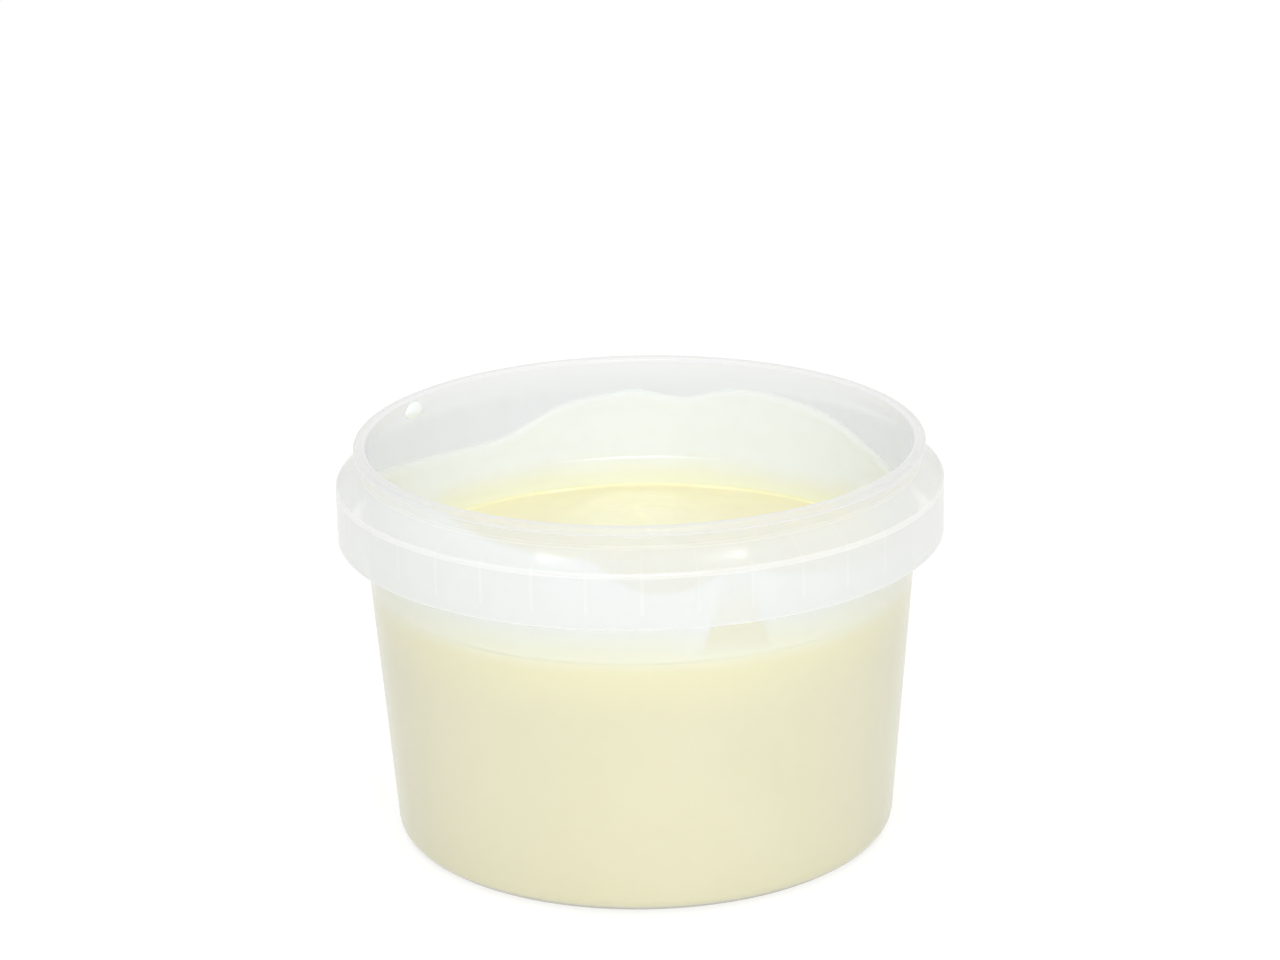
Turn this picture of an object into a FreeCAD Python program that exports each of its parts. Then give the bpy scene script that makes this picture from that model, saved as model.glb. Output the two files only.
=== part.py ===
"""A translucent tamper-evident tub, open, and filled with white chocolate spread.

The tub is one injection moulding: a thin tapered body on a low foot ring, an upright neck with a
snap bead for the lid, a sloping shoulder and an outer skirt that is carried on ribs. The spread
fills the body, and a thin film of it is left on the wall above, with an uneven upper edge.

Millimetres. The origin is the centre of the base, on the surface that the tub stands on. +Z is up
and -Y is the front. Azimuths are degrees from the front, positive towards +X.
"""
import math
import os

import FreeCAD
import Part

# Overall sizes.
MOUTH_DIAMETER = 106.0  # inside the neck
HEIGHT = 79.1  # to the top of the rim

# Body.
DRAFT_DEG = 4.6  # the body wall leans out by this
WALL = 0.7  # body wall, measured level
FLOOR = 0.8
BASE_CORNER = 3.4  # outer radius between the body wall and the foot
FOOT_RECESS = 0.7  # the floor's underside stands this far above the foot ring
FOOT_RING = 2.0  # width of the ring that the tub stands on
FOOT_SLOPE = 1.0  # run of the slope from the ring up to the underside
GATE_RADIUS = 1.5  # the moulding gate's stub under the floor
GATE_STUB = 0.35

# Neck and snap bead.
NECK_LENGTH = 18.7  # upright part of the wall, down from the rim
NECK_WALL = 1.1
NECK_BLEND = 1.4  # height over which the body wall thickens into the neck
BEAD_HEIGHT = 1.7
BEAD_REACH = 1.3  # beyond the neck
RIM_ROUND = 0.75

# Shoulder and skirt.
SHOULDER_DROP = 4.1  # from the rim down to where the shoulder leaves the neck
SHOULDER_FALL = 3.6
SHOULDER_WALL = 1.2
SHOULDER_ROUND = 0.6
SKIRT_REACH = 4.9  # beyond the neck
SKIRT_HEIGHT = 10.7
SKIRT_WALL = 0.8
SKIRT_ROUND = 0.9
SKIRT_LIP_ROUND = 0.25

# Ribs between the neck and the skirt.
RIB_COUNT = 36
RIB_WALL = 0.7
RIB_CLEAR = 3.0  # the ribs end this far above the skirt's lower edge

# Contents.
HEADSPACE = 27.7  # from the rim down to the level of the spread
MENISCUS_RISE = 1.0
MENISCUS_RUN = 3.2
MOUND_RADIUS = 9.0  # a low swell in the surface
MOUND_HEIGHT = 0.5
MOUND_BEHIND = 33.0  # from the middle of the surface towards the back

# Film on the wall: its thickness, and its upper edge as (azimuth, height above the level).
FILM = 0.35
FILM_EDGE = [
    (-168, 19.9), (-159, 17.7), (-148, 13.9), (-139, 13.5), (-124, 14.6), (-106, 17.4), (-84, 22.4),
    (-62, 26.0), (-45, 26.4), (-34, 23.3), (-26, 21.9), (-17, 21.0), (-10, 20.6), (-4, 16.4), (9, 14.9),
    (19, 17.2), (29, 15.7), (42, 13.9), (60, 12.2), (84, 12.4), (108, 14.0), (124, 17.6),
    (138, 20.7), (150, 21.9), (161, 21.6), (170.5, 19.6), (180, 21.0),
]
FILM_TOP_CLEAR = 1.0  # the film ends at least this far below the rim
FILM_SECTORS = 4  # the film's skin is turned in this many equal parts
# A bare patch in the film, from the level upwards: an arch with a round top and spreading legs.
ARCH_AZIMUTH = 19.1
ARCH_WIDTH = 5.2  # where the legs meet the round top
ARCH_FOOT = 14.4  # across the legs at the level
ARCH_HEIGHT = 16.4

# Worked out from the sizes above.
NECK_IN = MOUTH_DIAMETER / 2
NECK_OUT = NECK_IN + NECK_WALL
BEAD_OUT = NECK_OUT + BEAD_REACH
SKIRT_OUT = NECK_OUT + SKIRT_REACH
SKIRT_IN = SKIRT_OUT - SKIRT_WALL
NECK_BASE = HEIGHT - NECK_LENGTH
SHOULDER_TOP = HEIGHT - SHOULDER_DROP
SKIRT_TOP = SHOULDER_TOP - SHOULDER_FALL
SKIRT_BOTTOM = SKIRT_TOP - SKIRT_HEIGHT
FLOOR_TOP = FOOT_RECESS + FLOOR
LEVEL = HEIGHT - HEADSPACE
CONTACT = LEVEL + MENISCUS_RISE  # where the spread's surface meets the wall
DRAFT = math.tan(math.radians(DRAFT_DEG))
SHOULDER_SLOPE = SHOULDER_FALL / SKIRT_REACH
# The shoulder's underside is parallel to its top, so this is its thickness measured upright.
SHOULDER_UPRIGHT = SHOULDER_WALL * math.hypot(1, SHOULDER_SLOPE)


def body_out(z):
    """Outer radius of the tapered body wall at a height."""
    return NECK_IN + WALL - DRAFT * (NECK_BASE - z)


def inner(z):
    """Inner radius of the tub's wall at a height, body or neck."""
    return min(body_out(z) - WALL, NECK_IN)


def shoulder_under(r):
    """Height of the shoulder's underside at a radius."""
    return SHOULDER_TOP - SHOULDER_SLOPE * (r - NECK_OUT) - SHOULDER_UPRIGHT


def point(r, z):
    """A point of a section, which lies in the XZ plane."""
    return FreeCAD.Vector(r, 0, z)


def polar(r, azimuth, z):
    """A point in space from its radius, azimuth and height."""
    a = math.radians(azimuth)
    return FreeCAD.Vector(r * math.sin(a), -r * math.cos(a), z)


def section_edges(corners):
    """Edges through (radius, height, rounding) corners, in order and not closed. The first and last
    corners aren't rounded, and a rounding of 0 leaves a corner sharp."""
    edges = []
    start = point(*corners[0][:2])
    for before, corner, after in zip(corners, corners[1:], corners[2:]):
        here = point(*corner[:2])
        back = (point(*before[:2]) - here).normalize()
        ahead = (point(*after[:2]) - here).normalize()
        rounding = corner[2]
        if rounding == 0:
            edges.append(Part.LineSegment(start, here).toShape())
            start = here
            continue
        half = back.getAngle(ahead) / 2
        run = rounding / math.tan(half)
        first = here + back * run
        last = here + ahead * run
        bisector = (back + ahead).normalize()
        middle = here + bisector * (rounding / math.sin(half) - rounding)
        edges.append(Part.LineSegment(start, first).toShape())
        edges.append(Part.Arc(first, middle, last).toShape())
        start = last
    edges.append(Part.LineSegment(start, point(*corners[-1][:2])).toShape())
    return edges


def turned(edges):
    """The solid that a closed section makes when it is turned about the Z axis."""
    face = Part.Face(Part.Wire(edges))
    return face.revolve(FreeCAD.Vector(0, 0, 0), FreeCAD.Vector(0, 0, 1), 360)


def tub_shell():
    """The moulding without its ribs: up the outside, over the rim and down the inside."""
    foot_in = body_out(0) - BASE_CORNER - FOOT_RING
    outside = [
        (0, FOOT_RECESS - GATE_STUB, 0),
        (GATE_RADIUS, FOOT_RECESS - GATE_STUB, 0),
        (GATE_RADIUS, FOOT_RECESS, 0),
        (foot_in - FOOT_SLOPE, FOOT_RECESS, 0),
        (foot_in, 0, 0),
        (body_out(0), 0, BASE_CORNER),
        (body_out(NECK_BASE), NECK_BASE, 0),
        (NECK_OUT, NECK_BASE + NECK_BLEND, 0),
        (NECK_OUT, shoulder_under(NECK_OUT), SHOULDER_ROUND),
        (SKIRT_IN, shoulder_under(SKIRT_IN), SKIRT_ROUND - SKIRT_WALL / 2),
        (SKIRT_IN, SKIRT_BOTTOM, SKIRT_LIP_ROUND),
        (SKIRT_OUT, SKIRT_BOTTOM, SKIRT_LIP_ROUND),
        (SKIRT_OUT, SKIRT_TOP, SKIRT_ROUND),
        (NECK_OUT, SHOULDER_TOP, SHOULDER_ROUND),
        (NECK_OUT, HEIGHT - BEAD_HEIGHT, SKIRT_LIP_ROUND),
        (BEAD_OUT, HEIGHT - BEAD_HEIGHT, BEAD_HEIGHT / 3),
        (BEAD_OUT, HEIGHT, RIM_ROUND),
    ]
    inside = [
        (NECK_IN, HEIGHT, RIM_ROUND),
        (NECK_IN, NECK_BASE, 0),
        (inner(FLOOR_TOP), FLOOR_TOP, BASE_CORNER - WALL),
        (0, FLOOR_TOP, 0),
    ]
    edges = section_edges(outside + inside)
    edges.append(Part.LineSegment(point(0, FLOOR_TOP), point(*outside[0][:2])).toShape())
    return turned(edges)


def rib():
    """One rib at the front, reaching half way into the neck's, shoulder's and skirt's walls."""
    root = NECK_OUT - NECK_WALL / 2
    tip = SKIRT_OUT - SKIRT_WALL / 2
    bottom = SKIRT_BOTTOM + RIB_CLEAR
    bite = SHOULDER_UPRIGHT / 2
    corners = [
        polar(root, 0, bottom),
        polar(tip, 0, bottom),
        polar(tip, 0, shoulder_under(tip) + bite),
        polar(root, 0, shoulder_under(root) + bite),
    ]
    plate = Part.Face(Part.makePolygon(corners + corners[:1]))
    plate.translate(FreeCAD.Vector(-RIB_WALL / 2, 0, 0))
    return plate.extrude(FreeCAD.Vector(RIB_WALL, 0, 0))


def make_tub():
    """The whole tub, with the ribs evenly round it and one at the front."""
    ribs = []
    for i in range(RIB_COUNT):
        copy = rib()
        copy.rotate(FreeCAD.Vector(0, 0, 0), FreeCAD.Vector(0, 0, 1), 360 * i / RIB_COUNT)
        ribs.append(copy)
    return tub_shell().fuse(ribs).removeSplitter()


def mound():
    """The low swell, with a root that reaches below the level."""
    edge = point(MOUND_RADIUS, LEVEL)
    # The top is a shallow arc from the crown to the edge; its middle lies a quarter of the way down.
    middle = point(MOUND_RADIUS / 2, LEVEL + MOUND_HEIGHT * 3 / 4)
    crown = point(0, LEVEL + MOUND_HEIGHT)
    root = [edge, edge - point(0, MOUND_HEIGHT), point(0, LEVEL - MOUND_HEIGHT), crown]
    edges = [Part.Arc(crown, middle, edge).toShape()]
    edges += [Part.LineSegment(a, b).toShape() for a, b in zip(root, root[1:])]
    swell = turned(edges)
    swell.translate(polar(MOUND_BEHIND, 180, 0))
    return swell


def make_spread():
    """The spread, from the floor to its surface, which is level but for the swell and the meniscus.
    A rim as wide as the film carries the film."""
    rim = inner(CONTACT) - FILM
    below = section_edges([
        (0, FLOOR_TOP, 0),
        (inner(FLOOR_TOP), FLOOR_TOP, BASE_CORNER - WALL),
        (inner(CONTACT), CONTACT, 0),
        (rim, CONTACT, 0),
    ])
    flat_to = rim - MENISCUS_RUN
    steps = [i / 4 for i in range(5)]
    meniscus = Part.BSplineCurve()
    meniscus.interpolate([point(flat_to + MENISCUS_RUN * t, LEVEL + MENISCUS_RISE * t**2) for t in steps])
    level = Part.LineSegment(point(flat_to, LEVEL), point(0, LEVEL)).toShape()
    axis = Part.LineSegment(point(0, LEVEL), point(0, FLOOR_TOP)).toShape()
    return turned(below + [meniscus.toShape(), level, axis]).fuse(mound())


def film_skin(sector):
    """One sector of an even skin on the wall, from the contact line to just below the rim."""
    top = HEIGHT - RIM_ROUND - FILM_TOP_CLEAR
    wall = [point(inner(CONTACT), CONTACT), point(NECK_IN, NECK_BASE), point(NECK_IN, top)]
    back = [p - FreeCAD.Vector(FILM, 0, 0) for p in reversed(wall)]
    corners = wall + back
    section = Part.Face(Part.makePolygon(corners + corners[:1]))
    turn = 360 / FILM_SECTORS
    axis = FreeCAD.Vector(0, 0, 1)
    section.rotate(FreeCAD.Vector(0, 0, 0), axis, turn * sector)
    return section.revolve(FreeCAD.Vector(0, 0, 0), axis, turn)


def below_film_edge():
    """A wide ring whose top follows the film's uneven edge, for trimming the skin."""
    rims = []
    for r in (0.9 * NECK_IN, 1.1 * NECK_IN):
        curve = Part.BSplineCurve()
        curve.interpolate(
            Points=[polar(r, azimuth, LEVEL + height) for azimuth, height in FILM_EDGE],
            PeriodicFlag=True,
        )
        rims.append(curve.toShape())
    edge = Part.makeRuledSurface(rims[0], rims[1])
    return edge.extrude(FreeCAD.Vector(0, 0, -HEIGHT))


def arch():
    """A radial block with the outline of the bare patch."""
    half = ARCH_WIDTH / 2
    spring = LEVEL + ARCH_HEIGHT - half
    foot = ARCH_FOOT / 2
    corners = [(-foot, LEVEL), (-half, spring), (0, spring + half), (half, spring), (foot, LEVEL)]
    foot_left, left, top, right, foot_right = [FreeCAD.Vector(x, -1.5 * NECK_IN, z) for x, z in corners]
    outline = Part.Wire([
        Part.LineSegment(foot_left, left).toShape(),
        Part.Arc(left, top, right).toShape(),
        Part.LineSegment(right, foot_right).toShape(),
        Part.LineSegment(foot_right, foot_left).toShape(),
    ])
    block = Part.Face(outline).extrude(FreeCAD.Vector(0, NECK_IN, 0))
    block.rotate(FreeCAD.Vector(0, 0, 0), FreeCAD.Vector(0, 0, 1), ARCH_AZIMUTH)
    return block


def make_wall_film():
    """The film that the spread leaves on the wall, as one piece."""
    trim = below_film_edge()
    gap = arch()
    sectors = [film_skin(i).common(trim).cut(gap) for i in range(FILM_SECTORS)]
    return sectors[0].fuse(sectors[1:])


def write(name, shape):
    """Save one node and say what it is."""
    shape.exportStep(f"parts/{name}.step")
    box = shape.BoundBox
    print(
        f"{name}: {len(shape.Solids)} solid, valid {shape.isValid()}, {shape.Volume / 1000:.2f} cm3, "
        f"{len(shape.Faces)} faces, z {box.ZMin:.2f} to {box.ZMax:.2f}, across {box.XLength:.2f}"
    )


os.makedirs("parts", exist_ok=True)
write("tub", make_tub())
write("spread", make_spread())
write("wall_film", make_wall_film())
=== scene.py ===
import math

import bpy
import numpy as np
from mathutils import Matrix, Vector, noise
from mathutils.bvhtree import BVHTree


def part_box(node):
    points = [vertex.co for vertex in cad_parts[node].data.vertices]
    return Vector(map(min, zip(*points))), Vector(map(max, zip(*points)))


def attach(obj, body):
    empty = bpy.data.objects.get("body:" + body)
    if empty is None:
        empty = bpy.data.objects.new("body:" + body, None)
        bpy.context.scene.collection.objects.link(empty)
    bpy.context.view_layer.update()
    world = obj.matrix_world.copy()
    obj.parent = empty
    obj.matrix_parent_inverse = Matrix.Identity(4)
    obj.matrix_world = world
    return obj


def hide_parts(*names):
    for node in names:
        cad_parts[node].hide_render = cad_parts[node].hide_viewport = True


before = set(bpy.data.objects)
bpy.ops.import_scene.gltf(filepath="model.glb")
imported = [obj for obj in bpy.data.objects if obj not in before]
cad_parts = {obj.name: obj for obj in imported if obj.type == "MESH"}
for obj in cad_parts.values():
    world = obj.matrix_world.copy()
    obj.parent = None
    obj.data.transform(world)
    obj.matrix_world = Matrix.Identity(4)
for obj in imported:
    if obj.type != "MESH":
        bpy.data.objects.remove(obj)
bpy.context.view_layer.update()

MM = 0.001

# --- Sizes and places, in metres, from the frame ------------------------------------------------
TUB_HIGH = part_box("tub")[1]
SPREAD_LOW, SPREAD_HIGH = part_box("spread")
RIM_TOP = TUB_HIGH[2]
FLOOR_TOP = SPREAD_LOW[2]
CONTACT = SPREAD_HIGH[2]  # where the spread's surface meets the wall
BITE = 0.15 * MM  # the spread and the film reach this far into the wall

# --- Tub: the same moulding as the CAD node, in finer steps ---------------------------------------
SKIRT_OUT = TUB_HIGH[0]
DRAFT_DEG = 4.6
WALL = 0.7 * MM
BASE_CORNER = 3.4 * MM
FOOT_RECESS = 0.7 * MM
FOOT_RING = 2.0 * MM
FOOT_SLOPE = 1.0 * MM
GATE_RADIUS = 1.5 * MM
GATE_STUB = 0.35 * MM
NECK_LENGTH = 18.7 * MM
NECK_WALL = 1.1 * MM
NECK_BLEND = 1.4 * MM
BEAD_HEIGHT = 1.7 * MM
BEAD_REACH = 1.3 * MM
RIM_ROUND = 0.75 * MM
SHOULDER_DROP = 4.1 * MM
SHOULDER_FALL = 3.6 * MM
SHOULDER_WALL = 1.2 * MM
SHOULDER_ROUND = 0.6 * MM
SKIRT_REACH = 4.9 * MM
SKIRT_HEIGHT = 10.7 * MM
SKIRT_WALL = 0.8 * MM
SKIRT_ROUND = 0.9 * MM
SKIRT_LIP_ROUND = 0.25 * MM
RIB_COUNT = 36
RIB_WALL = 0.7 * MM
RIB_CLEAR = 3.0 * MM  # from the ribs' lower ends to the skirt's edge
BAY_COLUMNS = 9  # columns of the mesh between two ribs
LONGEST_STEP = 3.0 * MM  # of the mesh along the outline
SHARP_ANGLE = math.radians(35)  # an edge that turns by more stays sharp

NECK_OUT = SKIRT_OUT - SKIRT_REACH
NECK_IN = NECK_OUT - NECK_WALL
BEAD_OUT = NECK_OUT + BEAD_REACH
SKIRT_IN = SKIRT_OUT - SKIRT_WALL
NECK_BASE = RIM_TOP - NECK_LENGTH
SHOULDER_TOP = RIM_TOP - SHOULDER_DROP
SKIRT_TOP = SHOULDER_TOP - SHOULDER_FALL
SKIRT_BOTTOM = SKIRT_TOP - SKIRT_HEIGHT
RIB_BOTTOM = SKIRT_BOTTOM + RIB_CLEAR
DRAFT = math.tan(math.radians(DRAFT_DEG))
SHOULDER_SLOPE = SHOULDER_FALL / SKIRT_REACH
SHOULDER_UPRIGHT = SHOULDER_WALL * math.hypot(1, SHOULDER_SLOPE)

# --- Camera -------------------------------------------------------------------------------------
CAMERA_DISTANCE = 0.800  # from the centre of the base
CAMERA_ELEVATION = 23.04  # of the camera, seen from the centre of the base
CAMERA_LOOKS_DOWN = 18.27  # of its line of sight, below the horizon
CAMERA_ROLL = 1.06
CAMERA_LENS = 112.2
CAMERA_SENSOR = 36.0

# --- Spread -------------------------------------------------------------------------------------
MENISCUS_RISE = 1.0 * MM
MENISCUS_RUN = 3.6 * MM
LEVEL = CONTACT - MENISCUS_RISE
POUR_X = 0.0  # the spread was poured in here, towards the back
POUR_Y = 33.0 * MM
MOUND_RADIUS = 9.0 * MM
MOUND_HEIGHT = 0.5 * MM
RIPPLE_HEIGHT = 0.10 * MM
RIPPLE_LENGTH = 6.5 * MM
RIPPLE_FADE = 16.0 * MM
RIPPLE_BEND = 2.5  # how far the relief bends the ripples, in radians
RELIEF_HEIGHT = 0.14 * MM
RELIEF_SIZE = 12.0 * MM
CALM_EDGE = 4.0 * MM  # ripples and relief fade out over this distance from the edge
SPREAD_COLUMNS = 240
SPREAD_RINGS = 78
MENISCUS_RINGS = 14
SIDE_RINGS = 60  # down the wall

# --- Film on the wall ---------------------------------------------------------------------------
FILM_THICK = 0.30 * MM
FILM_DENSITY = 0.17 * MM  # each face of a film this thick lets 37 % of the light through
FILM_THIN_EDGE = 1.1 * MM  # it thins out over about this distance from its edge
FILM_BEAD = 0.10 * MM  # more thickness along its edge
FILM_BEAD_FROM = 1.6 * MM  # from the edge to the middle of that bead
FILM_BEAD_HALF = 1.0 * MM
FILM_STRAND = 0.35 * MM  # more thickness beside the arch
FILM_STRAND_FROM = 2.2 * MM  # from the arch to the middle of that strand
FILM_STRAND_HALF = 1.4 * MM
FILM_VEIL = 0.09 * MM  # what is left on the wall within the arch
FILM_VEIL_EDGE = 0.5 * MM  # the veil thins out over about this distance from its edge
FILM_FOOT = 0.25 * MM  # more thickness where it meets the spread
FILM_FOOT_RISE = 1.2 * MM  # it dies away over about this height
FILM_LEDGE = 0.16 * MM  # more thickness below a line at the back where it slid down
LEDGE_HEIGHT = 58.0 * MM
LEDGE_HALF = 17.0  # degrees to each side of the back
LEDGE_WANDER = 0.5 * MM  # the line wanders up and down by no more than this
LEDGE_SOFT = 0.09 * MM  # about how soft the step is
LEDGE_RISE = 1.5 * MM  # the slid film grows from nothing over about this height
LEDGE_ROWS = 0.4 * MM  # finer rows of the mesh this far above and below the line
FILM_BASE = 0.8 * MM  # it starts this far below the contact line, inside the spread
ARCH_AZIMUTH = 19.1  # degrees from the front
ARCH_WIDTH = 5.2 * MM  # where the legs meet the round top
ARCH_FOOT = 14.4 * MM  # across the legs at the level
ARCH_HEIGHT = 16.4 * MM
FILM_COLUMNS = 540
FILM_ROWS = (10, 10, 30)  # below the ledge, at the ledge and above it

# --- Drop near the rim --------------------------------------------------------------------------
DROP_AZIMUTH = -121.5
DROP_HEIGHT = 76.7 * MM
DROP_WIDTH = 6.2 * MM
DROP_TALL = 3.4 * MM
DROP_DEEP = 1.5 * MM
DROP_TAPER = 0.25  # narrower towards its top, by this share
DROP_UNEVEN = 0.06  # its outline bulges three times round, by this share
DROP_HEAVY = 0.3  # deeper towards its foot, by this share
DROP_FULL = 0.8  # at 1 it would be an ellipsoid, and below 1 it is fuller
DROP_COLUMNS = 36
DROP_RINGS = 14

# --- Light --------------------------------------------------------------------------------------
PLASTIC_CLEAR = 0.67  # share of the light that passes one face of the tub, square on
PLASTIC_LIT_FADE = 0.85  # share of its opacity that it loses for the rays that light a surface
BAY_FADE = 0.85  # share of its opacity that it loses within the bays between the ribs
PLASTIC_GLOW = 0.35  # of what it stops, the share that it scatters onwards and not back
FILM_LIT_FADE = 0.75
FILM_GLOW = 0.12
WORLD_LEVEL = 0.62  # strength with which the world lights the object
FLOOR_HALF = 4  # from the middle of the floor to its sides
FLOOR_WHITE = (0.86, 0.86, 0.86, 1)  # what the floor is like for the light on the object
FLOOR_DIM = (0.3, 0.3, 0.3, 1)  # its part that takes shadow where it is seen
FLOOR_SHINE = 0.76  # what it gives off besides where it is seen
LAMP_AIM = (0, 0, 0.05)  # the lamps point here, on the axis of the tub
SEE_THROUGH_FACES = 16  # a ray may pass this many. Beside the ribs it meets more than the usual 8.

# --- Colours ------------------------------------------------------------------------------------
PLASTIC = ((0.87, 0.89, 0.955), (0.89, 0.91, 0.97))  # the inner face, in two near shades
PLASTIC_NECK_SPREAD_LIT = (0.94, 0.93, 0.86)  # the outer face of the neck, with a painted warm tint for the spread's light coming through it
# the body below the neck, in the same painted warm tint
PLASTIC_BODY_SPREAD_LIT = (0.86, 0.86, 0.805)
PLASTIC_SKIRT = (0.905, 0.92, 0.92)  # and the shoulder
PLASTIC_RIM = (0.89, 0.90, 0.92)
# painted lighter, against the shade that the rib faces and the shoulder's underside get in the bays
PLASTIC_UNDER_SHOULDER_LIT = (0.985, 0.99, 0.99)
PLASTIC_OVER_RIB = (0.925, 0.935, 0.94)
# white of the thick edges, together with their painted highlights
PLASTIC_THICK_AND_HIGHLIT = (0.99, 0.99, 0.99)
PLASTIC_TINT = (0.965, 0.975, 0.985)  # of what shows through one face
SPREAD_OPEN = ((0.81, 0.765, 0.49), (0.84, 0.795, 0.52))
SPREAD_LIT_AT_POUR = (0.845, 0.82, 0.54)  # painted light around where it was poured in, which leaves the surface towards the walls in painted shade
# a painted highlight along the meniscus
SPREAD_MENISCUS_HIGHLIGHT = (0.93, 0.90, 0.57)
SPREAD_AT_WALL = ((0.815, 0.775, 0.50), (0.84, 0.80, 0.53))
SPREAD_LIT_HIGH_AT_WALL = (0.895, 0.85, 0.525)  # painted lighter a few millimetres below the contact line, for the light from above
SPREAD_CONTACT = (0.96, 0.97, 0.76)  # against the wall, at the contact line, painted palest for the light from above; the film's colour at its foot too
FILM_HIGH_UP = (0.94, 0.98, 0.985)
FILM_IN_ARCH = (0.97, 0.955, 0.68)

# The height where a colour starts to take over from the one before it, and where it has done so.
LIT_HIGH_AT_WALL_RISE = (38 * MM, 50 * MM)
LIT_CONTACT_RISE = (49.0 * MM, 53.4 * MM)
FILM_HIGH_RISE = (52.4 * MM, 60 * MM)
IN_ARCH_FALL = (66 * MM, 60 * MM)


def azimuth_point(radius, azimuth, z):
    """A point from its radius, its azimuth in degrees from the front, and its height."""
    a = math.radians(azimuth)
    return Vector((radius * math.sin(a), -radius * math.cos(a), z))


def body_out(z):
    """Outer radius of the tapered body wall at a height."""
    return NECK_IN + WALL - DRAFT * (NECK_BASE - z)


def wall(z):
    """Inner radius of the tub at a height."""
    return min(body_out(z) - WALL, NECK_IN)


def shoulder_under(r):
    """Height of the shoulder's underside at a radius."""
    return SHOULDER_TOP - SHOULDER_SLOPE * (r - NECK_OUT) - SHOULDER_UPRIGHT


# --- Mesh helpers -------------------------------------------------------------------------------
def new_object(name, points, faces, smooth=True, thickness=None):
    """A mesh object from points and faces, linked to the scene. Each point may have a thickness."""
    mesh = bpy.data.meshes.new(name)
    mesh.from_pydata([tuple(p) for p in points], [], faces)
    mesh.update()
    if thickness:
        mesh.attributes.new("thickness", "FLOAT", "POINT").data.foreach_set("value", thickness)
    if smooth:
        mesh.polygons.foreach_set("use_smooth", [True] * len(mesh.polygons))
    made = bpy.data.objects.new(name, mesh)
    bpy.context.scene.collection.objects.link(made)
    return made


def ring_faces(lower, upper, count):
    """Quads between two closed rings of points, given where each ring starts."""
    return [(lower + i, lower + (i + 1) % count, upper + (i + 1) % count, upper + i) for i in range(count)]


# --- Materials ----------------------------------------------------------------------------------
class Shader:
    """The nodes of a material or a world, with short calls for the ones that it needs.

    A mask is a value from 0 to 1 that says where on the object something applies."""

    def __init__(self, owner):
        owner.use_nodes = True
        self.owner = owner
        self.tree = owner.node_tree
        self.tree.nodes.clear()

    def node(self, kind, inputs=None, **settings):
        made = self.tree.nodes.new(kind)
        for key, value in settings.items():
            setattr(made, key, value)
        for key, value in (inputs or {}).items():
            self.put(made.inputs[key], value)
        return made

    def put(self, socket, value):
        if isinstance(value, bpy.types.NodeSocket):
            self.tree.links.new(value, socket)
        else:
            socket.default_value = value

    def math(self, operation, *values):
        return self.node("ShaderNodeMath", dict(enumerate(values)), operation=operation).outputs[0]

    def mix(self, factor, first, second):
        """Mix of two colours."""
        made = self.node("ShaderNodeMix", data_type="RGBA")
        for socket, value in ((made.inputs[0], factor), (made.inputs[6], first), (made.inputs[7], second)):
            if isinstance(value, tuple):
                value = (*value, 1)
            self.put(socket, value)
        return made.outputs[2]

    def ramp(self, value, start, end, low=0.0, high=1.0):
        """A smooth step from low to high as the value goes from start to end."""
        inputs = {0: value, 1: start, 2: end, 3: low, 4: high}
        return self.node("ShaderNodeMapRange", inputs, interpolation_type="SMOOTHSTEP").outputs[0]

    def both(self, first, second):
        return self.math("MULTIPLY", first, second)

    def either(self, first, second):
        return self.math("MAXIMUM", first, second)

    def inverse(self, mask):
        return self.math("SUBTRACT", 1.0, mask)

    def band(self, value, middle, half):
        """1 within a distance of a middle value, 0 beyond it."""
        away = self.math("ABSOLUTE", self.math("SUBTRACT", value, middle))
        return self.ramp(away, half * 1.15, half * 0.55)

    def shift(self, value, mask, amount):
        """A value, moved by an amount where the mask applies."""
        return self.math("ADD", value, self.math("MULTIPLY", mask, amount))

    def fade(self, value, mask, share):
        """A value, taken down by a share of itself where the mask applies."""
        return self.math("MULTIPLY", value, self.inverse(self.math("MULTIPLY", mask, share)))

    def noise(self, scale, detail, vector):
        inputs = {"Vector": vector, "Scale": scale, "Detail": detail}
        return self.node("ShaderNodeTexNoise", inputs).outputs["Fac"]

    def wander(self, value, noise, amount):
        """A value, moved by a noise, by up to half an amount to each side."""
        return self.shift(value, self.math("SUBTRACT", noise, 0.5), amount)

    def clouds(self, noise, colours):
        """Two near colours that run into each other with a noise."""
        return self.mix(self.ramp(noise, 0.3, 0.7), *colours)

    def place(self):
        """Object coordinates, and their X, Y and Z."""
        spot = self.node("ShaderNodeTexCoord").outputs["Object"]
        return spot, *self.node("ShaderNodeSeparateXYZ", {0: spot}).outputs

    def light(self):
        """1 for the rays that light a surface, 0 for those that show one."""
        path = self.node("ShaderNodeLightPath").outputs
        return self.either(path["Is Shadow Ray"], path["Is Diffuse Ray"])

    def mix_shader(self, factor, first, second):
        return self.node("ShaderNodeMixShader", {0: factor, 1: first, 2: second}).outputs[0]

    def finish(self, surface):
        """Set the material's surface and return the material."""
        self.node("ShaderNodeOutputMaterial", {"Surface": surface})
        return self.owner


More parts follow.
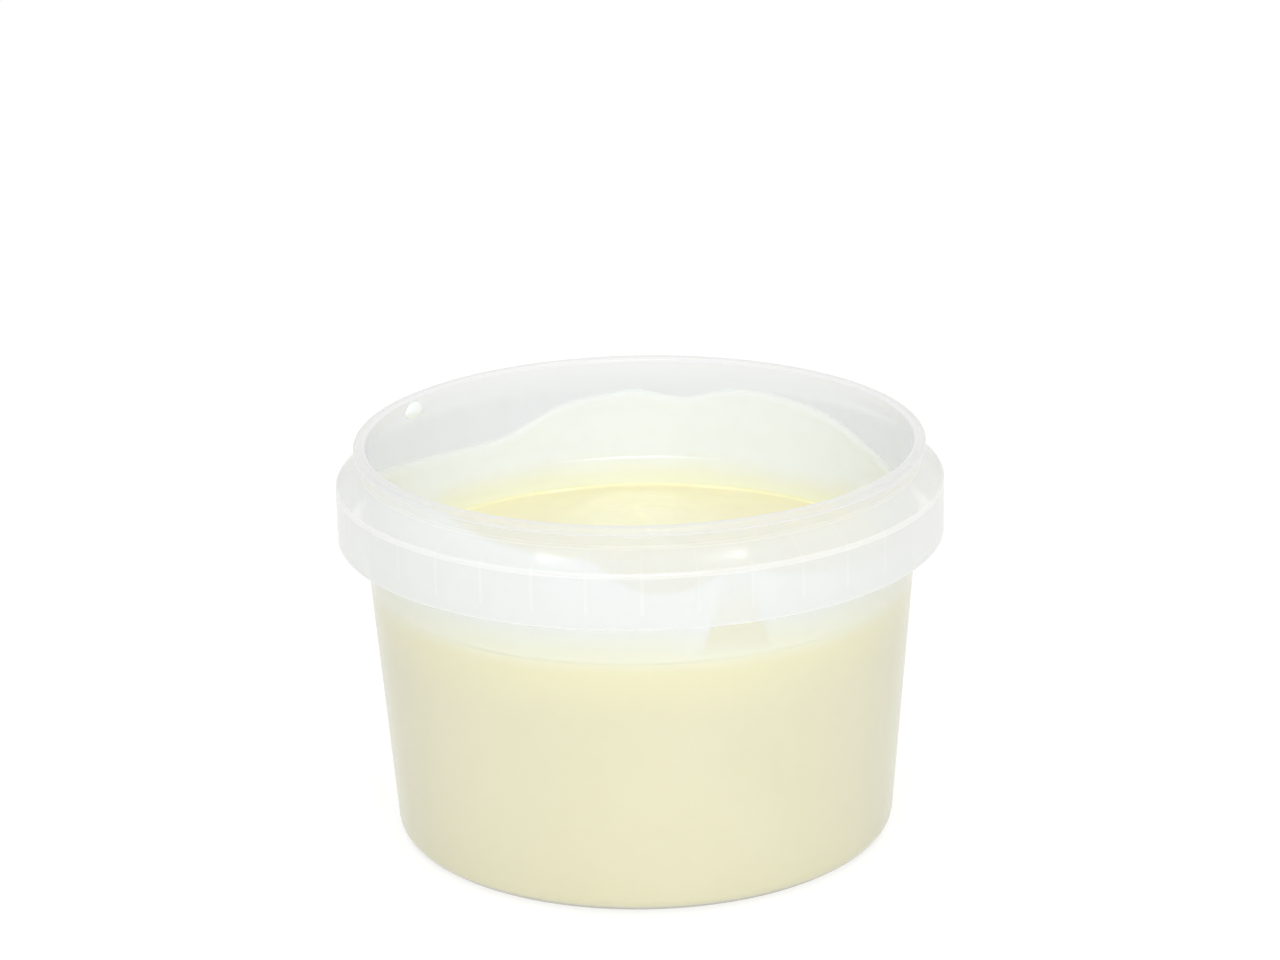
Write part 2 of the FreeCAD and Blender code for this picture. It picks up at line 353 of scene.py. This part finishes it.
def make_plastic():
    """Natural polypropylene: part clear, and milkier where it is thick or seen edge on, with painted light
    in places.
    """
    s = Shader(bpy.data.materials.new("natural_polypropylene"))
    spot, x, y, z = s.place()
    radius = s.math("SQRT", s.math("ADD", s.both(x, x), s.both(y, y)))
    cloud = s.noise(90, 3, spot)
    grain = s.noise(1400, 2, spot)

    # Masks of the rim with its bead, and of the skirt and the shoulder.
    outside = s.ramp(radius, NECK_OUT + 0.15 * MM, NECK_OUT + 0.5 * MM)
    rim = s.ramp(z, RIM_TOP - BEAD_HEIGHT - 0.5 * MM, RIM_TOP - BEAD_HEIGHT)
    skirt = s.ramp(radius, SKIRT_IN - 0.15 * MM, SKIRT_IN - 0.05 * MM)
    fall = s.math("MULTIPLY", SHOULDER_SLOPE, s.math("SUBTRACT", radius, NECK_OUT))
    below_top = s.math("SUBTRACT", s.math("SUBTRACT", SHOULDER_TOP, fall), z)
    shoulder = s.both(outside, s.ramp(below_top, 0.8 * MM, 0.4 * MM))
    shoulder = s.both(shoulder, s.inverse(rim))

    # Masks of the faces within the bays between the ribs, which show only through the skirt and
    # the shoulder. They are nearly clear, so that the ribs hardly show.
    under_shoulder = s.both(outside, s.inverse(skirt))
    under_shoulder = s.both(under_shoulder, s.ramp(below_top, 0.4 * MM, 0.8 * MM))
    inner_skirt = s.both(skirt, s.ramp(radius, SKIRT_IN + 0.25 * MM, SKIRT_IN + 0.1 * MM))
    inner_skirt = s.both(inner_skirt, s.ramp(z, SKIRT_BOTTOM + 0.2 * MM, SKIRT_BOTTOM + 0.6 * MM))
    inner_skirt = s.both(inner_skirt, s.ramp(below_top, 0.7 * MM, 1.1 * MM))
    neck_back = s.both(s.band(radius, NECK_OUT, 0.2 * MM),
                       s.ramp(z, RIB_BOTTOM - 0.5 * MM, RIB_BOTTOM + 1.5 * MM))
    neck_back = s.both(neck_back, s.ramp(z, SHOULDER_TOP - 0.8 * MM, SHOULDER_TOP - 1.2 * MM))
    within_bay = s.either(s.either(under_shoulder, inner_skirt), neck_back)
    skirt_and_shoulder = s.math("SUBTRACT", s.either(skirt, shoulder), inner_skirt)

    # A line over each rib, on the skirt and more faintly on the shoulder.
    turn = s.math("MULTIPLY", s.math("ARCTAN2", x, y), RIB_COUNT / (2 * math.pi))
    beside = s.math("MULTIPLY", s.math("PINGPONG", turn, 0.5), 2 * math.pi * SKIRT_OUT / RIB_COUNT)
    over_rib = s.both(s.ramp(beside, 0.45 * MM, 0.2 * MM),
                      s.ramp(z, RIB_BOTTOM - 0.3 * MM, RIB_BOTTOM + 0.3 * MM))
    over_rib = s.both(over_rib, s.either(skirt, s.math("MULTIPLY", shoulder, 0.3)))

    # Thick edges and corners, which show as white lines: milkier thick plastic, and painted highlights.
    skirt_edge_highlight = s.both(s.band(z, SKIRT_TOP - 0.25 * MM, 0.6 * MM),
                        s.ramp(radius, SKIRT_OUT - 1.1 * MM, SKIRT_OUT - 0.7 * MM))
    lip = s.both(s.band(z, SKIRT_BOTTOM, 0.25 * MM), outside)
    root = s.both(s.band(z, SHOULDER_TOP + 0.05 * MM, 0.4 * MM),
                  s.band(radius, NECK_OUT + 0.25 * MM, 0.5 * MM))
    rim_line = s.both(s.ramp(z, RIM_TOP - 0.6 * MM, RIM_TOP - 0.3 * MM),
                      s.band(radius, NECK_IN + 0.3 * MM, 0.5 * MM))
    bead_line = s.both(s.band(z, RIM_TOP - BEAD_HEIGHT, 0.4 * MM),
                       s.band(radius, BEAD_OUT - 0.2 * MM, 0.5 * MM))
    fine_lines = s.either(s.either(root, rim_line), bead_line)
    thick = s.either(s.math("MULTIPLY", lip, 0.7), s.math("MULTIPLY", fine_lines, 0.35))
    thick = s.either(thick, skirt_edge_highlight)

    # How much of the light one face lets through: square on, and then aslant, where the way
    # through the wall is longer, up to a limit.
    clear = s.wander(PLASTIC_CLEAR, cloud, 0.04)
    clear = s.shift(clear, skirt_and_shoulder, -0.25)
    clear = s.shift(clear, shoulder, 0.15)
    clear = s.shift(clear, over_rib, -0.02)
    # More opaque along the thick edges, which also carries their painted highlights.
    clear = s.shift(clear, thick, -0.30)
    facing = s.node("ShaderNodeLayerWeight", {"Blend": 0.5}).outputs["Facing"]
    least = s.shift(0.16, s.either(under_shoulder, shoulder), 0.3)
    square_on = s.either(s.inverse(facing), least)
    opacity = s.inverse(s.math("POWER", clear, s.math("DIVIDE", 1.0, square_on)))
    light = s.light()
    opacity = s.fade(opacity, light, PLASTIC_LIT_FADE)
    opacity = s.fade(opacity, within_bay, BAY_FADE)

    colour = s.clouds(cloud, PLASTIC)
    # The neck's and the body's faces get a painted warm tint, for the spread's yellow light through the
    # plastic.
    colour = s.mix(s.ramp(radius, NECK_OUT - 0.4 * MM, NECK_OUT - 0.15 * MM), colour, PLASTIC_NECK_SPREAD_LIT)
    colour = s.mix(s.ramp(z, NECK_BASE + 1.5 * MM, NECK_BASE - 3 * MM), colour, PLASTIC_BODY_SPREAD_LIT)
    colour = s.mix(outside, colour, PLASTIC_SKIRT)
    colour = s.mix(rim, colour, PLASTIC_RIM)
    # Painted lighter within the bays, against the shade there.
    colour = s.mix(under_shoulder, colour, PLASTIC_UNDER_SHOULDER_LIT)
    colour = s.mix(over_rib, colour, PLASTIC_OVER_RIB)
    # Painted highlights, and milkier plastic, along the thick edges and corners.
    colour = s.mix(thick, colour, PLASTIC_THICK_AND_HIGHLIT)
    bump = s.node("ShaderNodeBump", {"Height": grain, "Distance": 0.02 * MM, "Strength": 0.35}).outputs[0]
    skin = s.node("ShaderNodeBsdfPrincipled", {
        "Base Color": colour, "Roughness": s.shift(0.08, cloud, 0.10), "IOR": 1.49,
        "Specular IOR Level": 0.6, "Coat Weight": 0.5, "Coat Roughness": 0.07, "Normal": bump,
    }).outputs[0]
    glow = s.node("ShaderNodeBsdfTranslucent", {"Color": colour}).outputs[0]
    tinted = s.both(s.inverse(s.either(outside, rim)), s.inverse(light))
    through = s.mix(tinted, (1.0, 1.0, 1.0), PLASTIC_TINT)
    clear_shader = s.node("ShaderNodeBsdfTransparent", {"Color": through}).outputs[0]
    return s.finish(s.mix_shader(opacity, clear_shader, s.mix_shader(PLASTIC_GLOW, skin, glow)))


def make_open_spread():
    """White chocolate spread, a dense cream. Its open surface is glossy, with painted light around where
    it was poured in, and a painted highlight along the meniscus."""
    s = Shader(bpy.data.materials.new("white_chocolate_spread"))
    spot, _, _, z = s.place()
    drift = s.noise(45, 3, spot)
    fine = s.noise(260, 3, spot)
    pour = (POUR_X, POUR_Y, LEVEL)
    from_pour = s.node("ShaderNodeVectorMath", {0: spot, 1: pour}, operation="DISTANCE").outputs[1]
    from_pour = s.wander(from_pour, drift, 10 * MM)
    # Painted lighter around where it was poured in, so darker towards the walls, for the walls' shade.
    colour = s.mix(s.ramp(from_pour, 19 * MM, 12 * MM), s.clouds(drift, SPREAD_OPEN), SPREAD_LIT_AT_POUR)
    # A painted highlight along the meniscus.
    colour = s.mix(s.ramp(z, LEVEL + 0.25 * MM, LEVEL + 0.7 * MM), colour, SPREAD_MENISCUS_HIGHLIGHT)
    bump = s.node("ShaderNodeBump", {"Height": fine, "Distance": 0.05 * MM, "Strength": 0.15}).outputs[0]
    return s.finish(s.node("ShaderNodeBsdfPrincipled", {
        "Base Color": colour, "Roughness": s.shift(0.12, drift, 0.12), "IOR": 1.46,
        "Subsurface Weight": 0.25, "Subsurface Scale": 2.5 * MM, "Subsurface Radius": (1.0, 0.8, 0.4),
        "Coat Weight": 0.6, "Coat Roughness": 0.04, "Normal": bump,
    }).outputs[0])


def make_spread_at_wall():
    """The same spread against the wall: matt, and painted lighter towards its top and palest there, for
    light from above.
    """
    s = Shader(bpy.data.materials.new("white_chocolate_at_wall"))
    spot, _, _, z = s.place()
    drift = s.noise(45, 3, spot)
    height = s.wander(z, drift, 1.5 * MM)
    cream = s.clouds(drift, SPREAD_AT_WALL)
    # Painted lighter towards the top, for the light that comes in from above through the open surface.
    colour = s.mix(s.ramp(height, *LIT_HIGH_AT_WALL_RISE), cream, SPREAD_LIT_HIGH_AT_WALL)
    colour = s.mix(s.ramp(height, *LIT_CONTACT_RISE), colour, SPREAD_CONTACT)
    return s.finish(s.node("ShaderNodeBsdfPrincipled", {
        "Base Color": colour, "Roughness": 1.0, "IOR": 1.46, "Specular IOR Level": 0.0,
    }).outputs[0])


def make_film_material():
    """A thin film of the spread on the wall: cream at its foot, paler higher up, and see-through
    where it is thin."""
    s = Shader(bpy.data.materials.new("spread_film"))
    spot, _, _, z = s.place()
    drift = s.noise(60, 3, spot)
    height = s.wander(z, drift, 5 * MM)
    colour = s.mix(s.ramp(height, *FILM_HIGH_RISE), SPREAD_CONTACT, FILM_HIGH_UP)
    thickness = s.node("ShaderNodeAttribute", attribute_name="thickness").outputs["Fac"]
    within_arch = s.both(s.ramp(thickness, 0.2 * MM, 0.08 * MM), s.ramp(z, *IN_ARCH_FALL))
    colour = s.mix(within_arch, colour, FILM_IN_ARCH)
    thickness = s.math("MULTIPLY", thickness, s.ramp(drift, 0.25, 0.75, 0.85, 1.15))
    opacity = s.inverse(s.math("EXPONENT", s.math("DIVIDE", thickness, -FILM_DENSITY)))
    opacity = s.fade(opacity, s.light(), FILM_LIT_FADE)
    skin = s.node("ShaderNodeBsdfPrincipled", {
        "Base Color": colour, "Roughness": s.shift(0.12, drift, 0.14), "IOR": 1.46,
        "Coat Weight": 0.4, "Coat Roughness": 0.06,
    }).outputs[0]
    glow = s.node("ShaderNodeBsdfTranslucent", {"Color": colour}).outputs[0]
    clear_shader = s.node("ShaderNodeBsdfTransparent").outputs[0]
    return s.finish(s.mix_shader(opacity, clear_shader, s.mix_shader(FILM_GLOW, skin, glow)))


# --- Tub ----------------------------------------------------------------------------------------
def rounded(corners, steps=6):
    """Points along (radius, height, rounding) corners. The first and last corners stay sharp."""
    points = [corners[0][:2]]
    for before, corner, after in zip(corners, corners[1:], corners[2:]):
        here = Vector(corner[:2])
        back = (Vector(before[:2]) - here).normalized()
        ahead = (Vector(after[:2]) - here).normalized()
        rounding = corner[2]
        if rounding == 0:
            points.append(tuple(here))
            continue
        half = back.angle(ahead) / 2
        centre = here + (back + ahead).normalized() * rounding / math.sin(half)
        first = here + back * rounding / math.tan(half) - centre
        turn = first.angle_signed(here + ahead * rounding / math.tan(half) - centre)
        for k in range(steps + 1):
            points.append(tuple(centre + Matrix.Rotation(-turn * k / steps, 2) @ first))
    points.append(corners[-1][:2])
    return points


def divided(points, longest):
    """The same line with no step longer than a length."""
    made = [points[0]]
    for (r0, z0), (r1, z1) in zip(points, points[1:]):
        count = max(1, math.ceil(math.hypot(r1 - r0, z1 - z0) / longest))
        made.extend((r0 + (r1 - r0) * k / count, z0 + (z1 - z0) * k / count) for k in range(1, count + 1))
    return made


def make_tub():
    """The moulding as one closed mesh, with its ribs grown from the neck, shoulder and skirt.

    Its outline runs from the gate under the base up the outside, through the bay between two ribs,
    round the skirt, shoulder and rim, and down the inside. In the bay's part of the outline each
    rib leaves a gap in the rings, which the rib's own faces close."""
    foot_in = body_out(0) - BASE_CORNER - FOOT_RING
    below = divided(rounded([
        (GATE_RADIUS, FOOT_RECESS - GATE_STUB, 0),
        (GATE_RADIUS, FOOT_RECESS, 0),
        (foot_in - FOOT_SLOPE, FOOT_RECESS, 0),
        (foot_in, 0, 0),
        (body_out(0), 0, BASE_CORNER),
        (body_out(NECK_BASE), NECK_BASE, 0),
        (NECK_OUT, NECK_BASE + NECK_BLEND, 0),
        (NECK_OUT, RIB_BOTTOM, 0),
    ]), LONGEST_STEP)
    cavity = rounded([
        (NECK_OUT, RIB_BOTTOM, 0),
        (NECK_OUT, shoulder_under(NECK_OUT), SHOULDER_ROUND),
        (SKIRT_IN, shoulder_under(SKIRT_IN), SKIRT_ROUND - SKIRT_WALL / 2),
        (SKIRT_IN, RIB_BOTTOM, 0),
    ])
    above = divided(rounded([
        (SKIRT_IN, RIB_BOTTOM, 0),
        (SKIRT_IN, SKIRT_BOTTOM, SKIRT_LIP_ROUND),
        (SKIRT_OUT, SKIRT_BOTTOM, SKIRT_LIP_ROUND),
        (SKIRT_OUT, SKIRT_TOP, SKIRT_ROUND),
        (NECK_OUT, SHOULDER_TOP, SHOULDER_ROUND),
        (NECK_OUT, RIM_TOP - BEAD_HEIGHT, SKIRT_LIP_ROUND),
        (BEAD_OUT, RIM_TOP - BEAD_HEIGHT, BEAD_HEIGHT / 3),
        (BEAD_OUT, RIM_TOP, RIM_ROUND),
        (NECK_IN, RIM_TOP, RIM_ROUND),
        (NECK_IN, NECK_BASE, 0),
        (wall(FLOOR_TOP), FLOOR_TOP, BASE_CORNER - WALL),
        (2 * GATE_RADIUS, FLOOR_TOP, 0),
    ]), LONGEST_STEP)
    profile = below + cavity[1:-1] + above
    rib_from = len(below) - 1
    rib_to = rib_from + len(cavity) - 1
    bay = BAY_COLUMNS + 2
    columns = RIB_COUNT * bay
    pitch = 360 / RIB_COUNT
    points = []
    for r, z in profile:
        half = math.degrees(math.asin(min(1, RIB_WALL / 2 / max(r, 5 * MM))))
        for i in range(RIB_COUNT):
            for k in range(bay):
                azimuth = pitch * i + half + (pitch - 2 * half) * k / (bay - 1)
                points.append(azimuth_point(r, azimuth, z))
    faces = []
    for level in range(len(profile) - 1):
        quads = ring_faces(level * columns, (level + 1) * columns, columns)
        if rib_from <= level < rib_to:
            quads = [q for i, q in enumerate(quads) if i % bay != bay - 1]
        faces.extend(quads)
    for i in range(RIB_COUNT):
        right = i * bay
        left = (right - 1) % columns
        for column, turn in ((left, 1), (right, -1)):
            side = [level * columns + column for level in range(rib_from, rib_to + 1)]
            faces.append(tuple(side[::turn]))
        low, high = rib_from * columns, rib_to * columns
        faces.append((low + left, low + right, high + right, high + left))
    for z, ring, turn in ((FOOT_RECESS - GATE_STUB, 0, -1), (FLOOR_TOP, len(profile) - 1, 1)):
        points.append(Vector((0, 0, z)))
        for i in range(columns):
            face = (len(points) - 1, ring * columns + i, ring * columns + (i + 1) % columns)
            faces.append(face[::turn])
    made = new_object("tub_moulding", points, faces)
    made.data.set_sharp_from_angle(angle=SHARP_ANGLE)
    return made


# --- Spread -------------------------------------------------------------------------------------
SPREAD_EDGE = wall(CONTACT) - FILM_THICK - FILM_FOOT


def surface_height(x, y):
    """Height of the spread's open surface: a swell and ripples where it was poured, soft relief
    and the meniscus, which turns up into the film."""
    r = math.hypot(x, y)
    z = LEVEL
    away = math.hypot(x - POUR_X, y - POUR_Y)
    if away < MOUND_RADIUS:
        z += MOUND_HEIGHT * (1 + math.cos(math.pi * away / MOUND_RADIUS)) / 2
    calm = min(1.0, max(0.0, (SPREAD_EDGE - r) / CALM_EDGE))
    bend = noise.noise(Vector((x / RELIEF_SIZE, y / RELIEF_SIZE, 7.7)))
    phase = 2 * math.pi * away / RIPPLE_LENGTH + RIPPLE_BEND * bend
    z += RIPPLE_HEIGHT * calm * math.cos(phase) * math.exp(-away / RIPPLE_FADE)
    z += RELIEF_HEIGHT * calm * noise.noise(Vector((x / RELIEF_SIZE, 1.7 * y / RELIEF_SIZE, 3.1)))
    share = min(1.0, max(0.0, (r - SPREAD_EDGE + MENISCUS_RUN) / MENISCUS_RUN))
    return z + MENISCUS_RISE * (1 - math.sqrt(1 - share**2))


def make_spread():
    """The spread as one closed mesh, reaching just into the wall and the floor."""
    flat_to = SPREAD_EDGE - MENISCUS_RUN
    radii = [flat_to * (k + 1) / SPREAD_RINGS for k in range(SPREAD_RINGS)]
    turns = [math.pi / 2 * (k + 1) / MENISCUS_RINGS for k in range(MENISCUS_RINGS)]
    radii += [flat_to + MENISCUS_RUN * math.sin(turn) for turn in turns]
    points = [Vector((0, 0, surface_height(0, 0)))]
    faces = []
    angles = [360 * i / SPREAD_COLUMNS for i in range(SPREAD_COLUMNS)]
    for r in radii:
        for a in angles:
            p = azimuth_point(r, a, 0)
            points.append(Vector((p.x, p.y, surface_height(p.x, p.y))))
    side = [(wall(CONTACT) + BITE, CONTACT - 0.02 * MM)]
    for z in np.linspace(CONTACT - 0.5 * MM, FLOOR_TOP + 0.2 * MM, SIDE_RINGS):
        side.append((wall(z) + BITE, z))
    side.append((wall(FLOOR_TOP + 0.1 * MM), FLOOR_TOP - BITE))
    for r, z in side:
        points.extend(azimuth_point(r, a, z) for a in angles)
    rings = len(radii) + len(side)
    for i in range(SPREAD_COLUMNS):
        faces.append((0, 1 + i, 1 + (i + 1) % SPREAD_COLUMNS))
    for k in range(rings - 1):
        faces.extend(ring_faces(1 + k * SPREAD_COLUMNS, 1 + (k + 1) * SPREAD_COLUMNS, SPREAD_COLUMNS))
    last = 1 + (rings - 1) * SPREAD_COLUMNS
    points.append(Vector((0, 0, FLOOR_TOP - BITE)))
    bottom = len(points) - 1
    faces = [f[::-1] for f in faces]
    faces.extend((bottom, last + (i + 1) % SPREAD_COLUMNS, last + i) for i in range(SPREAD_COLUMNS))
    made = new_object("spread_body", points, faces)
    open_faces = SPREAD_COLUMNS * len(radii)
    for polygon in made.data.polygons:
        polygon.material_index = 0 if polygon.index < open_faces else 1
    made.data.set_sharp_from_angle(angle=SHARP_ANGLE)
    return made


# --- Film ---------------------------------------------------------------------------------------
def node_tree(name):
    """A BVH tree of a CAD node's mesh, for measuring it."""
    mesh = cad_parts[name].data
    return BVHTree.FromPolygons([v.co for v in mesh.vertices], [p.vertices for p in mesh.polygons])


FILM_TREE = node_tree("wall_film")


def film_at(azimuth, z):
    """Whether the CAD film covers the wall here."""
    hit = FILM_TREE.ray_cast(Vector((0, 0, z)), azimuth_point(1, azimuth, 0))[0]
    return hit is not None


def film_top(azimuth, low):
    """Height of the CAD film's edge at an azimuth, above a height that it covers."""
    high = RIM_TOP - 0.5 * MM
    for _ in range(14):
        middle = (low + high) / 2
        if film_at(azimuth, middle):
            low = middle
        else:
            high = middle
    return (low + high) / 2


def arch_height(across):
    """Height of the arch's outline above the level, at a distance from its middle line."""
    half = ARCH_WIDTH / 2
    spring = ARCH_HEIGHT - half
    if across < half:
        return spring + math.sqrt(half**2 - across**2)
    return max(0.0, spring * (ARCH_FOOT / 2 - across) / (ARCH_FOOT / 2 - half))


def beyond_arch(across, up):
    """Distance outside the arch's outline, or 0 within it."""
    half = ARCH_WIDTH / 2
    spring = ARCH_HEIGHT - half
    if up > spring:
        return max(0.0, math.hypot(across, up - spring) - half)
    slope = (ARCH_FOOT / 2 - half) / spring
    return max(0.0, (across - half - slope * (spring - up)) / math.hypot(1, slope))


def ledge_height(azimuth):
    """Height of the line where the film has slid down a little, at an azimuth."""
    p = azimuth_point(1, azimuth, 0)
    return LEDGE_HEIGHT + LEDGE_WANDER * noise.noise(Vector((2 * p.x, 2 * p.y, 5.3)))


def grown(distance, scale):
    """0 at no distance, and near 1 beyond a few times a scale."""
    return 1 - math.exp(-distance / scale)


def hump(distance, middle, half):
    """1 at a middle distance, and near 0 well beyond half a width from it."""
    return math.exp(-((distance - middle) / half) ** 2)


def film_thickness(azimuth, across, z, top):
    """The film thins out at its edge and in the arch, and is thicker beside them and at its foot."""
    beside = beyond_arch(across, z - LEVEL)
    near = min(top - z, beside)
    thick = FILM_THICK * grown(near, FILM_THIN_EDGE)
    thick += FILM_BEAD * hump(near, FILM_BEAD_FROM, FILM_BEAD_HALF)
    thick += FILM_STRAND * hump(beside, FILM_STRAND_FROM, FILM_STRAND_HALF)
    thick = max(thick, FILM_VEIL * grown(top - z, FILM_VEIL_EDGE))
    up = max(z - CONTACT, 0)
    thick += FILM_FOOT * math.exp(-up / FILM_FOOT_RISE)
    slid = 1 / (1 + math.exp((z - ledge_height(azimuth)) / LEDGE_SOFT))
    slid *= math.exp(-((azimuth - 180) / LEDGE_HALF) ** 4)
    return thick + FILM_LEDGE * slid * grown(up, LEDGE_RISE)


def make_film():
    """The film on the wall, up to its uneven edge, as one closed mesh."""
    inner, outer, thicknesses = [], [], []
    base = CONTACT - FILM_BASE
    for i in range(FILM_COLUMNS):
        azimuth = 360 * i / FILM_COLUMNS
        across = abs(math.radians((azimuth - ARCH_AZIMUTH + 180) % 360 - 180)) * NECK_IN
        top = film_top(azimuth, max(LEVEL + arch_height(across) + 0.2 * MM, CONTACT + 0.5 * MM))
        ledge = ledge_height(azimuth)
        stops = (base, ledge - LEDGE_ROWS, ledge + LEDGE_ROWS, top)
        heights = [base]
        for low, high, count in zip(stops, stops[1:], FILM_ROWS):
            ease = 1.5 if high == top else 1
            shares = [1 - (1 - (k + 1) / count) ** ease for k in range(count)]
            heights.extend(low + (high - low) * share for share in shares)
        for z in heights:
            thick = film_thickness(azimuth, across, z, top)
            thicknesses.append(thick)
            inner.append(azimuth_point(wall(z) - thick - 0.02 * MM, azimuth, z))
            outer.append(azimuth_point(wall(z) + BITE, azimuth, z))
    rows = len(inner) // FILM_COLUMNS
    shift = len(inner)
    faces = []
    for i in range(FILM_COLUMNS):
        here = i * rows
        after = (i + 1) % FILM_COLUMNS * rows
        for j in range(rows - 1):
            quad = (here + j, here + j + 1, after + j + 1, after + j)
            faces.append(quad)
            faces.append(tuple(shift + n for n in quad[::-1]))
        last = rows - 1
        faces.append((here + last, shift + here + last, shift + after + last, after + last))
        faces.append((after, shift + after, shift + here, here))
    return new_object("film_on_wall", inner + outer, faces, thickness=2 * thicknesses)


# --- Drop ---------------------------------------------------------------------------------------
def make_drop():
    """A small drop that was left on the wall near the rim, heavier at its foot."""
    points = []
    thicknesses = []
    for k in range(DROP_RINGS):
        tilt = math.pi / 2 * k / DROP_RINGS
        for i in range(DROP_COLUMNS):
            turn = 2 * math.pi * i / DROP_COLUMNS
            up = math.sin(turn) * math.cos(tilt)
            uneven = 1 + DROP_UNEVEN * math.sin(3 * turn + 0.7)
            across = math.cos(turn) * math.cos(tilt) * (1 - DROP_TAPER * up) * uneven
            deep = DROP_DEEP * math.sin(tilt) ** DROP_FULL * (1 - DROP_HEAVY * up)
            azimuth = DROP_AZIMUTH + math.degrees(across * DROP_WIDTH / 2 / NECK_IN)
            points.append(azimuth_point(NECK_IN + BITE - deep, azimuth, DROP_HEIGHT + up * DROP_TALL / 2))
            thicknesses.append(deep / 2)
    faces = []
    for k in range(DROP_RINGS - 1):
        faces.extend(ring_faces(k * DROP_COLUMNS, (k + 1) * DROP_COLUMNS, DROP_COLUMNS))
    points.append(azimuth_point(NECK_IN + BITE - DROP_DEEP, DROP_AZIMUTH, DROP_HEIGHT))
    last = (DROP_RINGS - 1) * DROP_COLUMNS
    faces.extend((last + i, last + (i + 1) % DROP_COLUMNS, len(points) - 1) for i in range(DROP_COLUMNS))
    faces.append(tuple(range(DROP_COLUMNS))[::-1])
    thicknesses.append(DROP_DEEP / 2)
    return new_object("rim_drop", points, [face[::-1] for face in faces], thickness=thicknesses)


# --- Stage --------------------------------------------------------------------------------------
def make_camera():
    """The photographed view: from the front, a little above, with a long lens."""
    data = bpy.data.cameras.new("camera")
    data.lens = CAMERA_LENS
    data.sensor_width = CAMERA_SENSOR
    camera = bpy.data.objects.new("camera", data)
    bpy.context.scene.collection.objects.link(camera)
    up = math.radians(CAMERA_ELEVATION)
    look = math.radians(CAMERA_LOOKS_DOWN)
    place = Matrix.Translation((0, -CAMERA_DISTANCE * math.cos(up), CAMERA_DISTANCE * math.sin(up)))
    tilt = Matrix.Rotation(math.pi / 2 - look, 4, "X")
    roll = Matrix.Rotation(math.radians(-CAMERA_ROLL), 4, "Z")
    camera.matrix_world = place @ tilt @ roll
    bpy.context.scene.camera = camera


def seen_directly(s):
    """1 for what the camera, a reflection or clear plastic shows, 0 for light on surfaces."""
    path = s.node("ShaderNodeLightPath").outputs
    return s.either(s.either(path["Is Camera Ray"], path["Is Glossy Ray"]), path["Is Transmission Ray"])


def make_floor():
    """A plain white floor, which keeps a faint shadow."""
    side = FLOOR_HALF
    points = [(-side, -side, 0), (side, -side, 0), (side, side, 0), (-side, side, 0)]
    floor = new_object("floor", points, [(0, 1, 2, 3)], smooth=False)
    s = Shader(bpy.data.materials.new("floor_white"))
    plain = s.node("ShaderNodeBsdfDiffuse", {"Color": FLOOR_WHITE}).outputs[0]
    dim = s.node("ShaderNodeBsdfDiffuse", {"Color": FLOOR_DIM}).outputs[0]
    light = s.node("ShaderNodeEmission", {"Color": (1, 1, 1, 1), "Strength": FLOOR_SHINE}).outputs[0]
    shown = s.node("ShaderNodeAddShader", {0: dim, 1: light}).outputs[0]
    floor.data.materials.append(s.finish(s.mix_shader(seen_directly(s), plain, shown)))


def make_world():
    """White where it is seen, and a plain level where it lights the object."""
    world = bpy.data.worlds.new("world")
    bpy.context.scene.world = world
    s = Shader(world)
    strength = s.ramp(seen_directly(s), 0.0, 1.0, WORLD_LEVEL, 1.0)
    back = s.node("ShaderNodeBackground", {"Color": (1, 1, 1, 1), "Strength": strength}).outputs[0]
    s.node("ShaderNodeOutputWorld", {"Surface": back})


def make_lamp(name, place, width, depth, power, shine=True):
    """A rectangular soft box that points at the tub, in metres and watts. With shine, it shows as
    a reflection too."""
    data = bpy.data.lights.new(name, "AREA")
    data.shape = "RECTANGLE"
    data.size = width
    data.size_y = depth
    data.energy = power
    lamp = bpy.data.objects.new(name, data)
    lamp.location = place
    aim = Vector(LAMP_AIM) - Vector(place)
    lamp.rotation_euler = aim.to_track_quat("-Z", "Y").to_euler()
    lamp.visible_glossy = shine
    bpy.context.scene.collection.objects.link(lamp)


# --- Scene --------------------------------------------------------------------------------------
make_camera()
make_floor()
make_world()
make_lamp("left_box", (-0.4, 0.04, 1.5), 0.12, 0.25, 1.0)
make_lamp("right_box", (0.4, 0.04, 1.5), 0.12, 0.25, 1.0)
make_lamp("top_box", (0, 0, 1.5), 1.0, 1.0, 4.5, shine=False)
make_lamp("front_box", (0.08, -1.4, 0.9), 1.0, 1.0, 10.0)

tub = make_tub()
tub.data.materials.append(make_plastic())
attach(tub, "root")
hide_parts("tub")

spread = make_spread()
spread.data.materials.append(make_open_spread())
spread.data.materials.append(make_spread_at_wall())
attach(spread, "root")
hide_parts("spread")

film_material = make_film_material()
film = make_film()
film.data.materials.append(film_material)
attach(film, "root")
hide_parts("wall_film")

drop = make_drop()
drop.data.materials.append(film_material)
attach(drop, "root")

bpy.context.scene.view_settings.view_transform = "Standard"
bpy.context.scene.cycles.transparent_max_bounces = SEE_THROUGH_FACES
